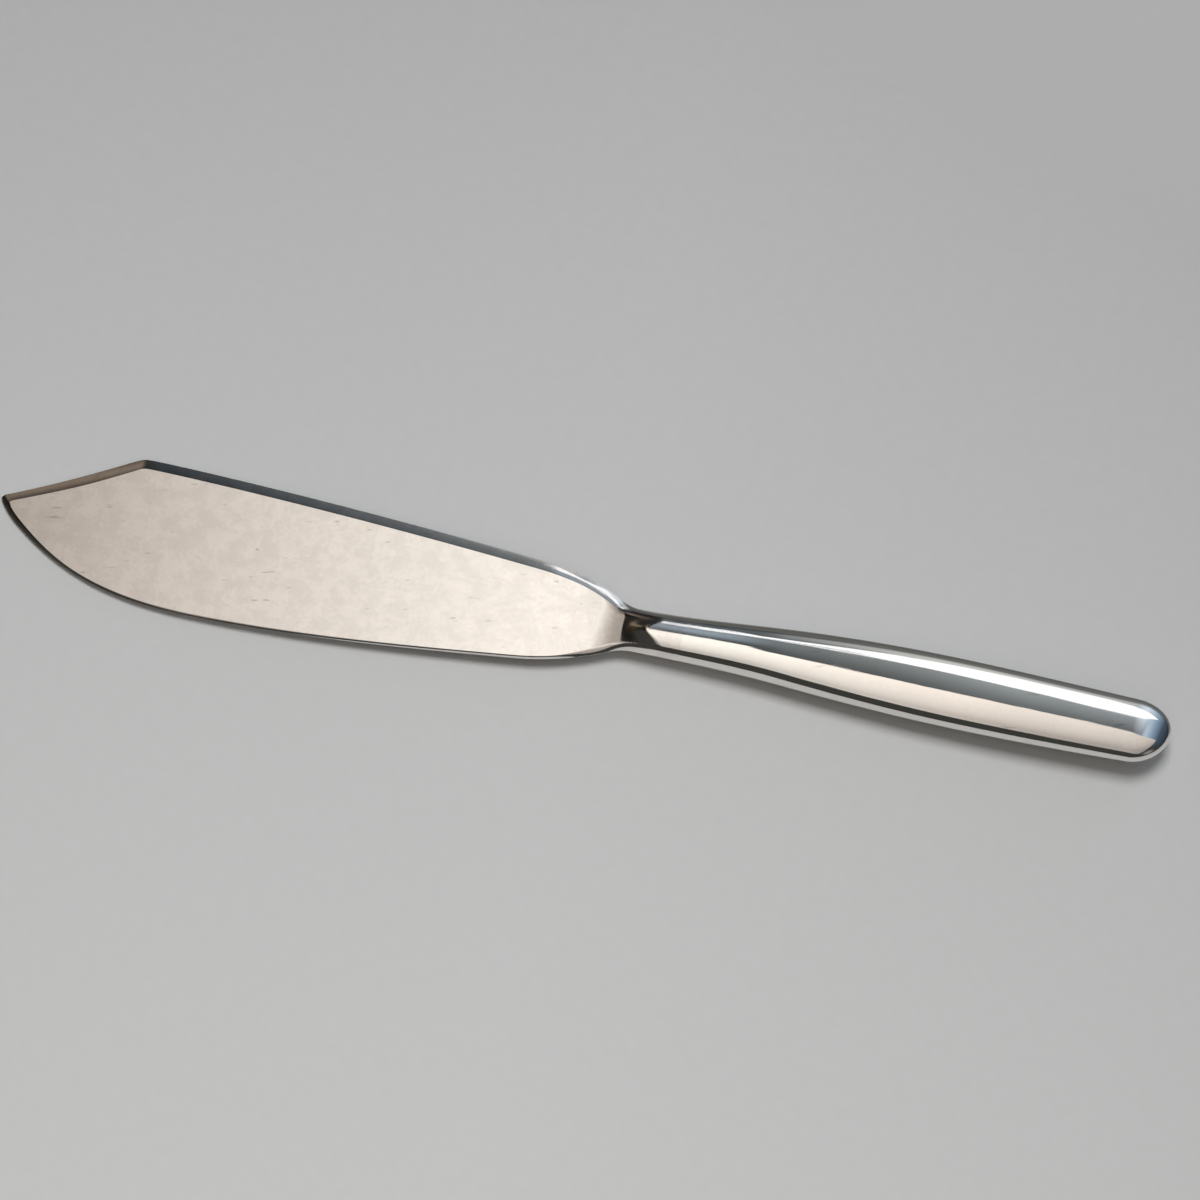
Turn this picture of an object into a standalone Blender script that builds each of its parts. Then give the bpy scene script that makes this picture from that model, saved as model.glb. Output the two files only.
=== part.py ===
"""Cake knife: a forged blade whose tang is cemented into a hollow handle of two stamped half shells.

The pieces are modelled in the knife's own frame, in metres. X runs from the tip at 0 to the butt, Y points
to the spine, Z points out of the front face, and the middle plane of blade and handle is Z = 0. An empty
then lays the whole knife on a table: the blade near its tip and the underside of the handle touch Z = 0,
and the origin is under the middle of the knife's box.
"""

import math

import bmesh
import bpy
import numpy as np

MM = 0.001

# Lengths along the knife
BLADE_LENGTH = 146.3 * MM  # tip to the plunge line, where the outline turns into the neck
NECK_LENGTH = 15.6 * MM  # plunge line to the shoulder that the handle butts against
WAIST_OFFSET = 5.1 * MM  # plunge line to the narrowest place of the neck
HANDLE_LENGTH = 113.3 * MM  # mouth of the handle to its butt

# Outline of the blade, seen from the front face
TIP_RISE = 1.15 * MM  # middle of the tip above the centreline
TIP_BLUNT = 0.72 * MM  # height of the tip before its nose is rounded
TIP_ROUNDING = 0.4 * MM
TIP_NOSE_SHARE = 0.35  # part of the blunt height left at the very end of the nose
CLIP_LENGTH = 30.5 * MM  # tip to the peak of the back
CLIP_HOLLOW = 0.55 * MM  # sag of the clip below a straight line
PEAK_HEIGHT = 16.87 * MM
PEAK_ROUNDING = 0.7 * MM
SPINE_FALL = math.radians(1.2)  # slope of the spine just behind the peak
SHOULDER_LENGTH = 21.4 * MM  # start of the spine's drop to the neck, before the plunge line
SHOULDER_HEIGHT = 11.72 * MM
SHOULDER_FALL = math.radians(4.65)
SHOULDER_FALL_AT_NECK = math.radians(30.0)
BELLY_TIP_ANGLE = math.radians(56.4)
BEND_PLACE = 6.9 * MM  # tip to the place where the cutting edge has turned most of its way
BEND_DEPTH = 5.9 * MM
BEND_ANGLE = math.radians(35.6)
BELLY_LOW = 49.8 * MM  # tip to the deepest place of the cutting edge
BELLY_DEPTH = 17.8 * MM
HEEL_LENGTH = 21.4 * MM  # start of the edge's rise to the neck, before the plunge line
HEEL_DEPTH = 12.36 * MM
HEEL_RISE = math.radians(6.4)
HEEL_RISE_AT_NECK = math.radians(24.0)
PLUNGE_WIDTH = 12.5 * MM  # width of the outline at the plunge line
PLUNGE_DROP = 0.15 * MM  # its middle below the centreline

# Thickness of the blade and its rounded margins
HEEL_THICKNESS = 2.4 * MM  # on the centreline at the plunge line
TIP_THICKNESS = 1.4 * MM  # on the centreline, carried on to the tip
WEDGE_ANGLE = math.radians(1.0)  # lean of each face towards the cutting edge
SPINE_EDGE = 0.9 * MM  # thickness left at the outer line of the spine
BELLY_EDGE = 0.4 * MM  # thickness left at the cutting edge
SPINE_MARGIN = 2.35 * MM  # width of the rounding along the spine
SPINE_CREASE = 0.5  # share of the rounding's mean slope that it starts with, at the face
BELLY_MARGIN = 0.55 * MM  # width of the rounding along the cutting edge
BELLY_CREASE = 0.45
TIP_SPINE_MARGIN = 1.8 * MM  # both roundings at the tip
TIP_BELLY_MARGIN = 1.25 * MM
TIP_MARGIN_LENGTH = 21.0 * MM  # length over which they change

# Scooped neck between the faces and the handle
SCOOP_OFFSET = 1.5 * MM  # plunge line to the end of the flat faces
SCOOP_LENGTH = 6.3 * MM  # along the centreline
SCOOP_FLARE = 5.0 * MM  # how much longer the scoop is towards the edges
FLARE_SHARE = 0.25  # small values widen that longer part
SPINE_BOW = 1.2 * MM  # how much sooner the scoop starts along the spine
BOW_START = 0.4  # share of the half width where that begins
BOW_WIDTH = 0.4

# Section of the neck and the handle
WAIST_WIDTH = 10.15 * MM
WAIST_THICKNESS = 8.6 * MM  # less than at the flare, which carries the knife on a table
MID_DISTANCE = 24.0 * MM  # shoulder to the middle of the flare
MID_WIDTH = 13.32 * MM
MID_FLARE = 0.074  # half width gained for each unit of length there
MID_THICKNESS = 10.0 * MM
WIDEST_FROM_BUTT = 50.0 * MM
WIDEST_WIDTH = 16.52 * MM
END_ROUNDING = 9.0 * MM  # length of the rounded butt
END_WIDTH = 14.84 * MM  # where that rounding starts
END_TAPER = 0.03
END_THICKNESS = 8.6 * MM
SHELL_WALL = 0.9 * MM

# Slight arch of the line that the neck and the handle follow
WAIST_DROP = 0.3 * MM
MID_LIFT = 0.34 * MM
END_DROP = 0.35 * MM
BUTT_LIFT = 0.3 * MM
BUTT_SLOPE = 0.1

# Joints: solder films, and the clearance between one piece and the next
FIT_GAP = 0.2 * MM
SEAM_FILM = 0.2 * MM
NECK_FILM = 0.3 * MM

# Tang and the cement round it
SPIGOT_LENGTH = 5.0 * MM
TANG_LENGTH = 62.0 * MM  # end of the spigot to the end of the tang
TANG_WIDTH = 6.0 * MM
TANG_END_WIDTH = 4.4 * MM
TANG_THICKNESS = 2.4 * MM
TANG_SOFTNESS = 0.35  # 0 gives the tang sharp corners, 1 an oval section
NOTCH_DEPTH = 0.9 * MM
NOTCH_LENGTH = 7.0 * MM
NOTCH_DISTANCES = (22.0 * MM, 44.0 * MM)  # end of the spigot to the middle of each pair of notches
CEMENT_BEYOND_TANG = 8.0 * MM
CEMENT_GAP = 0.3 * MM

# Fineness of the mesh
ACROSS = 20  # points across one face, edge to edge, and round half of the neck
MARGIN_STEPS = 5  # steps on each rounded margin
TIP_STEPS = 5  # sections along the nose of the tip
CLIP_STEPS = 10  # and along each stretch behind it
PEAK_STEPS = 8
SPINE_STEPS = 12
HEEL_STEPS = 10
SCOOP_STEPS = 14
NECK_STEPS = 5
NOTCH_STEPS = 6  # sections along each pair of notches
HANDLE_STEPS = 22  # sections from the mouth to the rounded butt
END_STEPS = 9  # sections along the rounded butt
CEMENT_STEPS = 19
PEAK_REACH = 4 * PEAK_ROUNDING  # stretch on each side of the peak with closer sections
LEAST_FACE = 0.2  # part of the width kept for the flat face where the two margins meet at the tip
SLOPE_STEP = 0.2 * MM  # length over which the outline's slope is taken
HARD_EDGE = math.radians(32.0)  # edges sharper than this are shaded hard
HALVINGS = 60  # steps of the search for the knife's lean on the table

# Places along the knife that follow from these lengths
X_PLUNGE = BLADE_LENGTH
X_SCOOP = X_PLUNGE + SCOOP_OFFSET
X_WAIST = X_PLUNGE + WAIST_OFFSET
X_SHOULDER = X_PLUNGE + NECK_LENGTH
X_MID = X_SHOULDER + MID_DISTANCE
X_MOUTH = X_SHOULDER + NECK_FILM + 2 * FIT_GAP
X_BUTT = X_MOUTH + HANDLE_LENGTH
X_END = X_BUTT - END_ROUNDING
X_SPIGOT_END = X_MOUTH + SPIGOT_LENGTH
X_TANG_END = X_SPIGOT_END + TANG_LENGTH
RIM = SEAM_FILM / 2 + FIT_GAP  # height of each shell's rim over the middle plane

SPINE_KNOTS = (
    (CLIP_LENGTH, PEAK_HEIGHT, -math.tan(SPINE_FALL)),
    (X_PLUNGE - SHOULDER_LENGTH, SHOULDER_HEIGHT, -math.tan(SHOULDER_FALL)),
    (X_PLUNGE, PLUNGE_WIDTH / 2 - PLUNGE_DROP, -math.tan(SHOULDER_FALL_AT_NECK)),
    (X_WAIST, WAIST_WIDTH / 2 - WAIST_DROP, 0.0),
)
BELLY_KNOTS = (
    (0.0, TIP_RISE - TIP_BLUNT / 2, -math.tan(BELLY_TIP_ANGLE)),
    (BEND_PLACE, -BEND_DEPTH, -math.tan(BEND_ANGLE)),
    (BELLY_LOW, -BELLY_DEPTH, 0.0),
    (X_PLUNGE - HEEL_LENGTH, -HEEL_DEPTH, math.tan(HEEL_RISE)),
    (X_PLUNGE, -PLUNGE_WIDTH / 2 - PLUNGE_DROP, math.tan(HEEL_RISE_AT_NECK)),
    (X_WAIST, -WAIST_WIDTH / 2 - WAIST_DROP, 0.0),
)
CENTRE_KNOTS = (
    (X_WAIST, -WAIST_DROP, 0.0),
    (X_MID, MID_LIFT, 0.0),
    (X_END, -END_DROP, 0.0),
    (X_BUTT, BUTT_LIFT, BUTT_SLOPE),
)
WIDTH_KNOTS = (
    (X_WAIST, WAIST_WIDTH / 2, 0.0),
    (X_MID, MID_WIDTH / 2, MID_FLARE),
    (X_BUTT - WIDEST_FROM_BUTT, WIDEST_WIDTH / 2, 0.0),
    (X_END, END_WIDTH / 2, -END_TAPER),
)
THICKNESS_KNOTS = (
    (X_WAIST, WAIST_THICKNESS / 2, 0.0),
    (X_MID, MID_THICKNESS / 2, 0.0),
    (X_END, END_THICKNESS / 2, -END_TAPER),
)


def smooth_curve(x, knots):
    """Height at x of a smooth curve through (place, height, slope) knots, straight beyond its ends."""
    if x <= knots[0][0]:
        return knots[0][1] + knots[0][2] * (x - knots[0][0])
    for (x0, y0, slope0), (x1, y1, slope1) in zip(knots, knots[1:]):
        if x <= x1:
            step = x1 - x0
            t = (x - x0) / step
            start = (1 + 2 * t) * (1 - t) ** 2 * y0 + t * (1 - t) ** 2 * step * slope0
            end = t * t * (3 - 2 * t) * y1 - t * t * (1 - t) * step * slope1
            return start + end
    return knots[-1][1] + knots[-1][2] * (x - knots[-1][0])


def ease(t):
    """Smooth step from 0 to 1."""
    t = np.clip(t, 0.0, 1.0)
    return t * t * (3 - 2 * t)


def quarter_round(distance, width):
    """Share of the full height at a distance in from an edge whose rounding is that wide."""
    t = np.clip(distance / width, 0.0, 1.0)
    return np.sqrt(1 - (1 - t) ** 2)


def roll_off(distance, width, crease):
    """Share of the full height at a distance in from an edge whose margin rolls down to it from a crease."""
    gone = 1 - np.clip(distance / width, 0.0, 1.0)
    return 1 - gone * (crease + (1 - crease) * gone)


def centre_line(x):
    """Height of the slightly arched line that the neck and the handle follow."""
    return smooth_curve(x, CENTRE_KNOTS)


def half_width(x):
    """Half the width of the neck and the handle."""
    return smooth_curve(x, WIDTH_KNOTS)


def half_thickness(x):
    """Half the thickness of the neck and the handle."""
    return smooth_curve(x, THICKNESS_KNOTS)


def outline(x):
    """Heights of the cutting edge and the spine over the centreline at x."""
    if x >= X_WAIST:
        return centre_line(x) - half_width(x), centre_line(x) + half_width(x)
    tip_top = TIP_RISE + TIP_BLUNT / 2
    along = x / CLIP_LENGTH
    clip = tip_top + (PEAK_HEIGHT - tip_top) * along - 4 * CLIP_HOLLOW * along * (1 - along)
    back = smooth_curve(x, SPINE_KNOTS)
    spine = (clip + back - math.hypot(clip - back, PEAK_ROUNDING)) / 2
    belly = smooth_curve(x, BELLY_KNOTS)
    nose = TIP_NOSE_SHARE + (1 - TIP_NOSE_SHARE) * float(quarter_round(x, TIP_ROUNDING))
    return TIP_RISE + (belly - TIP_RISE) * nose, TIP_RISE + (spine - TIP_RISE) * nose


def slope_stretch(x, side):
    """How much longer a margin is across the knife than square to its edge, 0 belly or 1 spine."""
    before = max(x - SLOPE_STEP, 0.0)
    after = x + SLOPE_STEP
    rise = outline(after)[side] - outline(before)[side]
    return math.hypot(1.0, rise / (after - before))


def face_height(x, y):
    """Height of the flat front face over the middle plane: it thins to the tip and to the cutting edge."""
    on_line = TIP_THICKNESS + (HEEL_THICKNESS - TIP_THICKNESS) * x / BLADE_LENGTH
    return on_line / 2 + math.tan(WEDGE_ANGLE) * y


def ellipse(half_y, half_z):
    """Points round a full ellipse as (y, z) rows: the front side from belly to spine, then the back side."""
    turn = (np.arange(ACROSS) + 0.5) * math.pi / ACROSS
    y = -half_y * np.cos(turn)
    z = half_z * np.sin(turn)
    return np.column_stack([np.concatenate([y, y[::-1]]), np.concatenate([z, -z[::-1]])])


def rounded_bar(half_y, half_z):
    """Points round a flat bar with softened corners, in the same order as ellipse."""
    unit = ellipse(1.0, 1.0)
    return np.sign(unit) * np.abs(unit) ** TANG_SOFTNESS * np.array([half_y, half_z])


def blade_section(x):
    """Points round the blade or its scooped neck at x as (y, z) rows, in the same order as ellipse."""
    low, high = outline(x)
    tip_share = 1 - ease(x / TIP_MARGIN_LENGTH)
    low_margin = (BELLY_MARGIN + (TIP_BELLY_MARGIN - BELLY_MARGIN) * tip_share) * slope_stretch(x, 0)
    high_margin = (SPINE_MARGIN + (TIP_SPINE_MARGIN - SPINE_MARGIN) * tip_share) * slope_stretch(x, 1)
    room = min(1.0, (1 - LEAST_FACE) * (high - low) / (low_margin + high_margin))
    steps = np.linspace(0.0, 1.0, MARGIN_STEPS + 1)
    low_side = low + room * low_margin * steps
    high_side = high - room * high_margin * steps[::-1]
    middle = np.linspace(low_side[-1], high_side[0], ACROSS - 2 * MARGIN_STEPS)
    y = np.concatenate([low_side[:-1], middle, high_side[1:]])
    neck = ellipse((high - low) / 2, half_thickness(x))[:ACROSS]
    behind = x - X_SCOOP
    y = y + (neck[:, 0] + (high + low) / 2 - y) * ease(behind / SCOOP_LENGTH)
    across = (2 * y - high - low) / (high - low)
    edge = (BELLY_EDGE + (SPINE_EDGE - BELLY_EDGE) * (1 + across) / 2) / 2
    rounding = roll_off(y - low, low_margin, BELLY_CREASE) * roll_off(high - y, high_margin, SPINE_CREASE)
    flat = edge + (face_height(x, y) - edge) * rounding * quarter_round(x, TIP_BELLY_MARGIN)
    reach = SCOOP_LENGTH + SCOOP_FLARE * across**4 / (across**4 + FLARE_SHARE)
    bow = SPINE_BOW * ease((across - BOW_START) / BOW_WIDTH)
    oval = half_thickness(x) * np.sqrt(np.clip(1 - across**2, 0.0, 1.0))
    z = flat + (oval - flat) * ease((behind + bow) / reach)
    return np.column_stack([np.concatenate([y, y[::-1]]), np.concatenate([z, -z[::-1]])])


def tang_half_width(x):
    """Half the width of the notched, tapering tang."""
    along = x - X_SPIGOT_END
    half = (TANG_WIDTH + (TANG_END_WIDTH - TANG_WIDTH) * along / TANG_LENGTH) / 2
    for place in NOTCH_DISTANCES:
        reach = abs(along - place) / (NOTCH_LENGTH / 2)
        half -= NOTCH_DEPTH * (1 - float(ease(reach)))
    return half


def tang_stations():
    """Places along the tang, closer together at its notches."""
    places = {X_SPIGOT_END, X_TANG_END}
    for middle in NOTCH_DISTANCES:
        for step in np.linspace(-NOTCH_LENGTH / 2, NOTCH_LENGTH / 2, NOTCH_STEPS + 1):
            places.add(X_SPIGOT_END + middle + float(step))
    return sorted(places)


def blade_stations():
    """Places of the blade's sections, close together where its outline or its surface turns quickly."""
    tip = TIP_BELLY_MARGIN * (1 - np.cos(np.linspace(0.0, math.pi / 2, TIP_STEPS + 1)))
    heel = X_PLUNGE - max(SHOULDER_LENGTH, HEEL_LENGTH)
    spans = (
        (TIP_BELLY_MARGIN, CLIP_LENGTH - PEAK_REACH, CLIP_STEPS),
        (CLIP_LENGTH - PEAK_REACH, CLIP_LENGTH + PEAK_REACH, PEAK_STEPS),
        (CLIP_LENGTH + PEAK_REACH, heel, SPINE_STEPS),
        (heel, X_SCOOP - SPINE_BOW, HEEL_STEPS),
        (X_SCOOP - SPINE_BOW, X_SCOOP + SCOOP_LENGTH, SCOOP_STEPS),
        (X_SCOOP + SCOOP_LENGTH, X_SHOULDER, NECK_STEPS),
    )
    places = [float(x) for x in tip]
    for start, end, steps in spans:
        places += [float(x) for x in np.linspace(start, end, steps + 1)[1:]]
    return places


def ring_at(x, section, centre=0.0):
    """A section's (y, z) rows as points at x, moved to a centre height."""
    return np.column_stack([np.full(len(section), x), section[:, 0] + centre, section[:, 1]])


def loft(bm, rings, closed_start=True, closed_end=True):
    """Adds a skin over closed rings of points, with flat caps at its ends. Returns the rows of vertices."""
    rows = [[bm.verts.new(point) for point in ring] for ring in rings]
    for first, second in zip(rows, rows[1:]):
        for i in range(len(first)):
            j = (i + 1) % len(first)
            bm.faces.new((first[i], first[j], second[j], second[i]))
    if closed_start:
        bm.faces.new(rows[0][::-1])
    if closed_end:
        bm.faces.new(rows[-1])
    return rows


def metal(name, colour, roughness, metallic=1.0):
    """A Principled material of one colour."""
    material = bpy.data.materials.new(name)
    material.use_nodes = True
    shader = material.node_tree.nodes["Principled BSDF"]
    shader.inputs["Base Color"].default_value = (*colour, 1.0)
    shader.inputs["Roughness"].default_value = roughness
    shader.inputs["Metallic"].default_value = metallic
    return material


def piece(name, bm, material, parent):
    """A named object from a bmesh, facing out and shaded smooth except at its hard edges."""
    bmesh.ops.recalc_face_normals(bm, faces=bm.faces)
    mesh = bpy.data.meshes.new(name)
    bm.to_mesh(mesh)
    bm.free()
    mesh.shade_smooth()
    mesh.set_sharp_from_angle(angle=HARD_EDGE)
    mesh.materials.append(material)
    item = bpy.data.objects.new(name, mesh)
    item.parent = parent
    bpy.context.collection.objects.link(item)
    return item


def make_blade(material, parent):
    """Blade, scooped neck, shoulder, spigot and notched tang, forged in one."""
    rings = [ring_at(x, blade_section(x)) for x in blade_stations()]
    inset = SHELL_WALL + FIT_GAP
    spigot = ellipse(half_width(X_MOUTH) - inset, half_thickness(X_MOUTH) - inset)
    for x in (X_SHOULDER, X_SPIGOT_END):
        rings.append(ring_at(x, spigot, centre_line(x)))
    for x in tang_stations():
        tang = rounded_bar(tang_half_width(x), TANG_THICKNESS / 2)
        rings.append(ring_at(x, tang, centre_line(x)))
    bm = bmesh.new()
    loft(bm, rings)
    return piece("blade", bm, material, parent)


def handle_stations():
    """Meridian of the handle as (outer x, inner x, share of the full section), from the mouth to the butt."""
    straight = [(float(x), float(x), 1.0) for x in np.linspace(X_MOUTH, X_END, HANDLE_STEPS + 1)]
    for turn in np.linspace(0.0, math.pi / 2, END_STEPS + 1)[1:-1]:
        outer = X_END + END_ROUNDING * math.sin(turn)
        inner = X_END + (END_ROUNDING - SHELL_WALL) * math.sin(turn)
        straight.append((outer, inner, math.cos(turn)))
    return straight


def shell_arc(x, share, inset, side):
    """Half section of a shell at x, from belly rim to spine rim, drawn in by inset and scaled by share."""
    turn = np.linspace(0.0, math.pi, ACROSS + 1)
    y = centre_line(x) - (half_width(x) - inset) * share * np.cos(turn)
    z = side * (RIM + (half_thickness(x) - inset - RIM) * share * np.sin(turn))
    z[[0, -1]] = side * RIM
    return np.column_stack([np.full(len(turn), x), y, z])


def make_shell(name, side, material, parent):
    """One stamped half of the hollow handle: front for side 1, back for side -1."""
    bm = bmesh.new()
    outer, inner = [], []
    for outer_x, inner_x, share in handle_stations():
        outer.append([bm.verts.new(p) for p in shell_arc(outer_x, share, 0.0, side)])
        inner.append([bm.verts.new(p) for p in shell_arc(inner_x, share, SHELL_WALL, side)])
    inner_end = X_BUTT - SHELL_WALL
    outer_pole = bm.verts.new((X_BUTT, centre_line(X_BUTT), side * RIM))
    inner_pole = bm.verts.new((inner_end, centre_line(inner_end), side * RIM))
    last = ACROSS
    for rows, pole in ((outer, outer_pole), (inner, inner_pole)):
        for first, second in zip(rows, rows[1:]):
            for i in range(last):
                bm.faces.new((first[i], first[i + 1], second[i + 1], second[i]))
        for i in range(last):
            bm.faces.new((rows[-1][i], rows[-1][i + 1], pole))
    for i in (0, last):
        for (a, b), (c, d) in zip(zip(outer, inner), zip(outer[1:], inner[1:])):
            bm.faces.new((a[i], c[i], d[i], b[i]))
        bm.faces.new((outer[-1][i], outer_pole, inner_pole, inner[-1][i]))
    for i in range(last):
        bm.faces.new((outer[0][i], outer[0][i + 1], inner[0][i + 1], inner[0][i]))
    return piece(name, bm, material, parent)


def make_seam_solder(material, parent):
    """Strip of solder between the rims of the two shells, down one side, round the butt and back."""
    posts = []
    for outer_x, inner_x, share in handle_stations():
        outer_y = half_width(outer_x) * share
        inner_y = (half_width(inner_x) - SHELL_WALL) * share
        posts.append((outer_x, outer_y, inner_x, inner_y))
    pole = (X_BUTT, 0.0, X_BUTT - SHELL_WALL, 0.0)
    other_side = [(a, -b, c, -d) for a, b, c, d in reversed(posts)]
    half = SEAM_FILM / 2
    rings = []
    for outer_x, outer_y, inner_x, inner_y in [*posts, pole, *other_side]:
        outer_y += centre_line(outer_x)
        inner_y += centre_line(inner_x)
        top = [(outer_x, outer_y, half), (inner_x, inner_y, half)]
        bottom = [(inner_x, inner_y, -half), (outer_x, outer_y, -half)]
        rings.append(np.array(top + bottom))
    bm = bmesh.new()
    loft(bm, rings)
    return piece("handle_seam_solder", bm, material, parent)


def make_neck_solder(material, parent):
    """Ring of solder between the blade's shoulder and the mouth of the handle."""
    outer = ellipse(half_width(X_MOUTH), half_thickness(X_MOUTH))
    inner = ellipse(half_width(X_MOUTH) - SHELL_WALL, half_thickness(X_MOUTH) - SHELL_WALL)
    front = X_SHOULDER + FIT_GAP
    back = front + NECK_FILM
    corners = ((front, outer), (back, outer), (back, inner), (front, inner))
    rings = [ring_at(x, section, centre_line(x)) for x, section in corners]
    bm = bmesh.new()
    rows = loft(bm, rings, closed_start=False, closed_end=False)
    for i in range(len(rows[0])):
        j = (i + 1) % len(rows[0])
        bm.faces.new((rows[-1][i], rows[-1][j], rows[0][j], rows[0][i]))
    return piece("neck_joint_solder", bm, material, parent)


def make_cement(material, parent):
    """Filler that locks the tang: it fills the shells behind the spigot and follows the tang's notches."""
    start = X_SPIGOT_END + CEMENT_GAP
    pocket_end = X_TANG_END + CEMENT_GAP
    end = pocket_end + CEMENT_BEYOND_TANG
    inset = SHELL_WALL + CEMENT_GAP
    outside = []
    for x in np.linspace(start, end, CEMENT_STEPS + 1):
        filling = ellipse(half_width(x) - inset, half_thickness(x) - inset)
        outside.append(ring_at(x, filling, centre_line(x)))
    pocket = []
    for x in [start, *tang_stations()[1:-1], pocket_end]:
        half = tang_half_width(min(max(x, X_SPIGOT_END), X_TANG_END)) + CEMENT_GAP
        around = rounded_bar(half, TANG_THICKNESS / 2 + CEMENT_GAP)
        pocket.append(ring_at(x, around, centre_line(x)))
    bm = bmesh.new()
    outer_rows = loft(bm, outside, closed_start=False)
    pocket_rows = loft(bm, pocket, closed_start=False)
    for i in range(len(outer_rows[0])):
        j = (i + 1) % len(outer_rows[0])
        bm.faces.new((outer_rows[0][i], outer_rows[0][j], pocket_rows[0][j], pocket_rows[0][i]))
    return piece("tang_cement", bm, material, parent)


def points_of(items):
    """All vertices of some pieces in the knife's own frame."""
    return np.array([vertex.co[:] for item in items for vertex in item.data.vertices])


def lay_on_table(empty, pieces):
    """Turns and moves the empty so that blade and handle touch Z = 0, centred over the origin."""
    points = points_of(pieces)
    front = points[points[:, 0] < X_PLUNGE]
    back = points[points[:, 0] >= X_PLUNGE]
    steepest, flattest = -1.0, 1.0
    for _ in range(HALVINGS):
        slope = (steepest + flattest) / 2
        blade_low = (front[:, 2] - slope * front[:, 0]).min()
        handle_low = (back[:, 2] - slope * back[:, 0]).min()
        if blade_low < handle_low:
            steepest = slope
        else:
            flattest = slope
    turn = math.atan(slope)
    empty.rotation_euler = (0.0, turn, 0.0)
    x = points[:, 0] * math.cos(turn) + points[:, 2] * math.sin(turn)
    y = points[:, 1]
    z = points[:, 2] * math.cos(turn) - points[:, 0] * math.sin(turn)
    empty.location = (-(x.min() + x.max()) / 2, -(y.min() + y.max()) / 2, -z.min())


def main():
    for item in list(bpy.data.objects):
        bpy.data.objects.remove(item, do_unlink=True)
    steel = metal("polished_blade_steel", (0.78, 0.76, 0.73), 0.14)
    silver = metal("polished_handle_silver", (0.86, 0.84, 0.81), 0.08)
    solder = metal("silver_solder", (0.72, 0.71, 0.68), 0.25)
    cement = metal("handle_cement", (0.30, 0.26, 0.22), 0.9, metallic=0.0)
    knife = bpy.data.objects.new("knife", None)
    bpy.context.collection.objects.link(knife)
    pieces = [
        make_blade(steel, knife),
        make_shell("handle_front_shell", 1, silver, knife),
        make_shell("handle_back_shell", -1, silver, knife),
        make_seam_solder(solder, knife),
        make_neck_solder(solder, knife),
        make_cement(cement, knife),
    ]
    lay_on_table(knife, pieces)


main()
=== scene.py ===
"""Looks of a cake knife: a hand-polished blade with a scooped neck, and a mirror-bright hollow handle.

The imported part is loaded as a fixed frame. The visible pieces are built again here as fine, smooth meshes,
in the knife's own frame: X runs from the tip to the butt, Y points to the spine and Z out of the front face.
They stand for the faceted nodes of the frame and ride on its one body.
"""

import logging
import math
from dataclasses import dataclass, field
from enum import Enum
from typing import Union

import bmesh
import bpy
import numpy as np
from mathutils import Matrix, Vector


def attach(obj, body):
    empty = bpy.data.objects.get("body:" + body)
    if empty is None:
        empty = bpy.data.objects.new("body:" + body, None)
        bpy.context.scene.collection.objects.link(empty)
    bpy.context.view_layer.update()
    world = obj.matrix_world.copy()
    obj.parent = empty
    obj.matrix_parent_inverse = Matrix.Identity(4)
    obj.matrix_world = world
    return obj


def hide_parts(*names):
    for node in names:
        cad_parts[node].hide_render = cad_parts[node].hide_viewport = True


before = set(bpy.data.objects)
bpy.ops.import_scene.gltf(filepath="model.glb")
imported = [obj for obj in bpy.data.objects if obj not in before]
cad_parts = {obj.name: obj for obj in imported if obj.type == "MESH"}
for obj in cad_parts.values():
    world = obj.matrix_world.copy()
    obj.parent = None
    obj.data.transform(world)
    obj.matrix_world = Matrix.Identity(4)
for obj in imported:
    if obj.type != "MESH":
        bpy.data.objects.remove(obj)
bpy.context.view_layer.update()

MM = 0.001
BODY = "root"
SOFTBOX_HEIGHT = 1.25
Colour = tuple[float, float, float]
Point = tuple[float, float, float]
Range = tuple[float, float]
Stops = tuple[tuple[float, Colour], ...]
Feed = Union[bpy.types.NodeSocket, float, tuple]
BLACK: Colour = (0.0, 0.0, 0.0)
log = logging.getLogger("cake_knife")


class Slot(Enum):
    """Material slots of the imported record."""

    BLADE = "blade_steel"
    HANDLE = "handle_silver"
    SOLDER = "solder"
    CEMENT = "cement"


class Side(Enum):
    """The two halves of the handle, by the sign of their Z."""

    FRONT = 1
    BACK = -1


def ease(t: np.ndarray) -> np.ndarray:
    """Smooth step from 0 to 1."""
    t = np.clip(t, 0.0, 1.0)
    return t * t * (3 - 2 * t)


def quarter_round(distance: np.ndarray, width: float) -> np.ndarray:
    """Height of a rounded margin.

    Args:
        distance: how far in from the edge each point is.
        width: width of the rounding.

    Returns:
        Share of the full height at each point.
    """
    t = np.clip(distance / width, 0.0, 1.0)
    return np.sqrt(1 - (1 - t) ** 2)


def roll_off(distance: np.ndarray, width: float, crease: float) -> np.ndarray:
    """Height of a margin that bends off more and more towards its edge.

    Args:
        distance: how far in from the edge each point is.
        width: width of the margin.
        crease: share of its mean slope with which it starts at the flat.

    Returns:
        Share of the full height at each point.
    """
    gone = 1 - np.clip(distance / width, 0.0, 1.0)
    return 1 - gone * (crease + (1 - crease) * gone)


@dataclass(frozen=True)
class Knot:
    """A place on a smooth curve, with its height and slope there."""

    place: float
    height: float
    slope: float


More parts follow.
